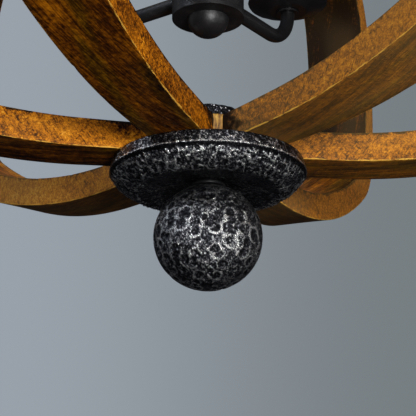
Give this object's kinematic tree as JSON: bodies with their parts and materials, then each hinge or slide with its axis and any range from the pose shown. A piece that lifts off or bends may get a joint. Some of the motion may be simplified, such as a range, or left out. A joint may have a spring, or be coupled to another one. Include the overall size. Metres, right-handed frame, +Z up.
{
  "type": "orb chandelier",
  "caption": "Flattened orb of bent wooden ribs between hammered iron dishes, with a ball finial below and candle lamps inside, hung by a chain and canopy.",
  "frame": {"origin": "centre of the crossbar's upper face, on the ceiling", "axes": "+Z up, along the fixture's axis; two opposite ribs lie along X, and -Y looks into a gap between ribs"},
  "size_m": [0.704, 0.6366, 0.7191],
  "materials": {
    "rib_wood": "stained, worn at the arrises",
    "core_wood": "bare, vertical grain",
    "dowel_wood": "bare",
    "hammered_iron": "hammered, black, satin",
    "black_iron": "black, satin",
    "zinc_steel": "zinc plated",
    "brass": "plain",
    "green_screw": "green",
    "sleeve": "matt, candle drip colour",
    "socket": "matt black",
    "lamp_glass": "clear",
    "wire": "insulated"
  },
  "bodies": {
    "ceiling_fixing": {"crossbar": "zinc_steel", "earth_screw": "green_screw", "canopy_nipple": "brass", "nipple_nut": "zinc_steel", "canopy_loop": "black_iron"},
    "canopy_cover": {"canopy": "black_iron", "collar_ring": "black_iron"},
    "link_1": {"chain_link_1": "black_iron"},
    "link_2": {"chain_link_2": "black_iron"},
    "link_3": {"chain_link_3": "black_iron"},
    "link_4": {"chain_link_4": "black_iron"},
    "orb": {"rib_1": "rib_wood", "rib_2": "rib_wood", "rib_3": "rib_wood", "rib_4": "rib_wood", "rib_5": "rib_wood", "rib_6": "rib_wood", "lower_hub_core": "core_wood", "lower_hub_dowels": "dowel_wood", "lower_hub_plate": "zinc_steel", "lower_hub_screws": "zinc_steel", "lower_dish": "hammered_iron", "lower_cap": "hammered_iron", "lower_stud": "zinc_steel", "finial_washer": "black_iron", "upper_hub_core": "core_wood", "upper_hub_dowels": "dowel_wood", "upper_hub_plate": "zinc_steel", "upper_hub_screws": "zinc_steel", "upper_dish": "hammered_iron", "upper_cap": "hammered_iron", "stem": "black_iron", "cluster_body": "black_iron", "cluster_lid": "black_iron", "cluster_finial": "black_iron", "top_loop": "black_iron", "arm_wires": "wire", "stem_wires": "wire", "arm_1": "black_iron", "arm_2": "black_iron", "arm_3": "black_iron", "arm_4": "black_iron", "drip_pan_1": "black_iron", "drip_pan_2": "black_iron", "drip_pan_3": "black_iron", "drip_pan_4": "black_iron", "candle_sleeve_1": "sleeve", "candle_sleeve_2": "sleeve", "candle_sleeve_3": "sleeve", "candle_sleeve_4": "sleeve", "lamp_socket_1": "socket", "lamp_socket_2": "socket", "lamp_socket_3": "socket", "lamp_socket_4": "socket"},
    "ball": {"finial_ball": "hammered_iron"},
    "bulb_1": {"lamp_1": "lamp_glass"},
    "bulb_2": {"lamp_2": "lamp_glass"},
    "bulb_3": {"lamp_3": "lamp_glass"},
    "bulb_4": {"lamp_4": "lamp_glass"}
  },
  "joints": [
    {"name": "canopy_lowering", "type": "slide", "parent": "ceiling_fixing", "child": "canopy_cover", "axis": [0, 0, 1], "range_m": [-0.018, 0]},
    {"name": "link_1_swing", "type": "hinge", "parent": "ceiling_fixing", "child": "link_1", "pos_m": [0, 0, -0.0584], "axis": [1, 0, 0], "range_deg": [-15, 15]},
    {"name": "link_2_swing", "type": "hinge", "parent": "link_1", "child": "link_2", "pos_m": [0, 0, -0.0976], "axis": [0, 1, 0], "range_deg": [-15, 15]},
    {"name": "link_3_swing", "type": "hinge", "parent": "link_2", "child": "link_3", "pos_m": [0, 0, -0.1373], "axis": [1, 0, 0], "range_deg": [-15, 15]},
    {"name": "link_4_swing", "type": "hinge", "parent": "link_3", "child": "link_4", "pos_m": [0, 0, -0.177], "axis": [0, 1, 0], "range_deg": [-15, 15]},
    {"name": "orb_swing", "type": "hinge", "parent": "link_4", "child": "orb", "pos_m": [0, 0, -0.2167], "axis": [1, 0, 0], "range_deg": [-15, 15]},
    {"name": "ball_unscrewing", "type": "hinge", "parent": "orb", "child": "ball", "pos_m": [0, 0, -0.67967], "axis": [0, 0, 1], "continuous": true},
    {"name": "lamp_1_unscrewing", "type": "hinge", "parent": "orb", "child": "bulb_1", "pos_m": [0.07071, 0.07071, -0.38957], "axis": [0, 0, 1], "continuous": true},
    {"name": "lamp_2_unscrewing", "type": "hinge", "parent": "orb", "child": "bulb_2", "pos_m": [-0.07071, 0.07071, -0.38957], "axis": [0, 0, 1], "continuous": true},
    {"name": "lamp_3_unscrewing", "type": "hinge", "parent": "orb", "child": "bulb_3", "pos_m": [-0.07071, -0.07071, -0.38957], "axis": [0, 0, 1], "continuous": true},
    {"name": "lamp_4_unscrewing", "type": "hinge", "parent": "orb", "child": "bulb_4", "pos_m": [0.07071, -0.07071, -0.38957], "axis": [0, 0, 1], "continuous": true}
  ]
}
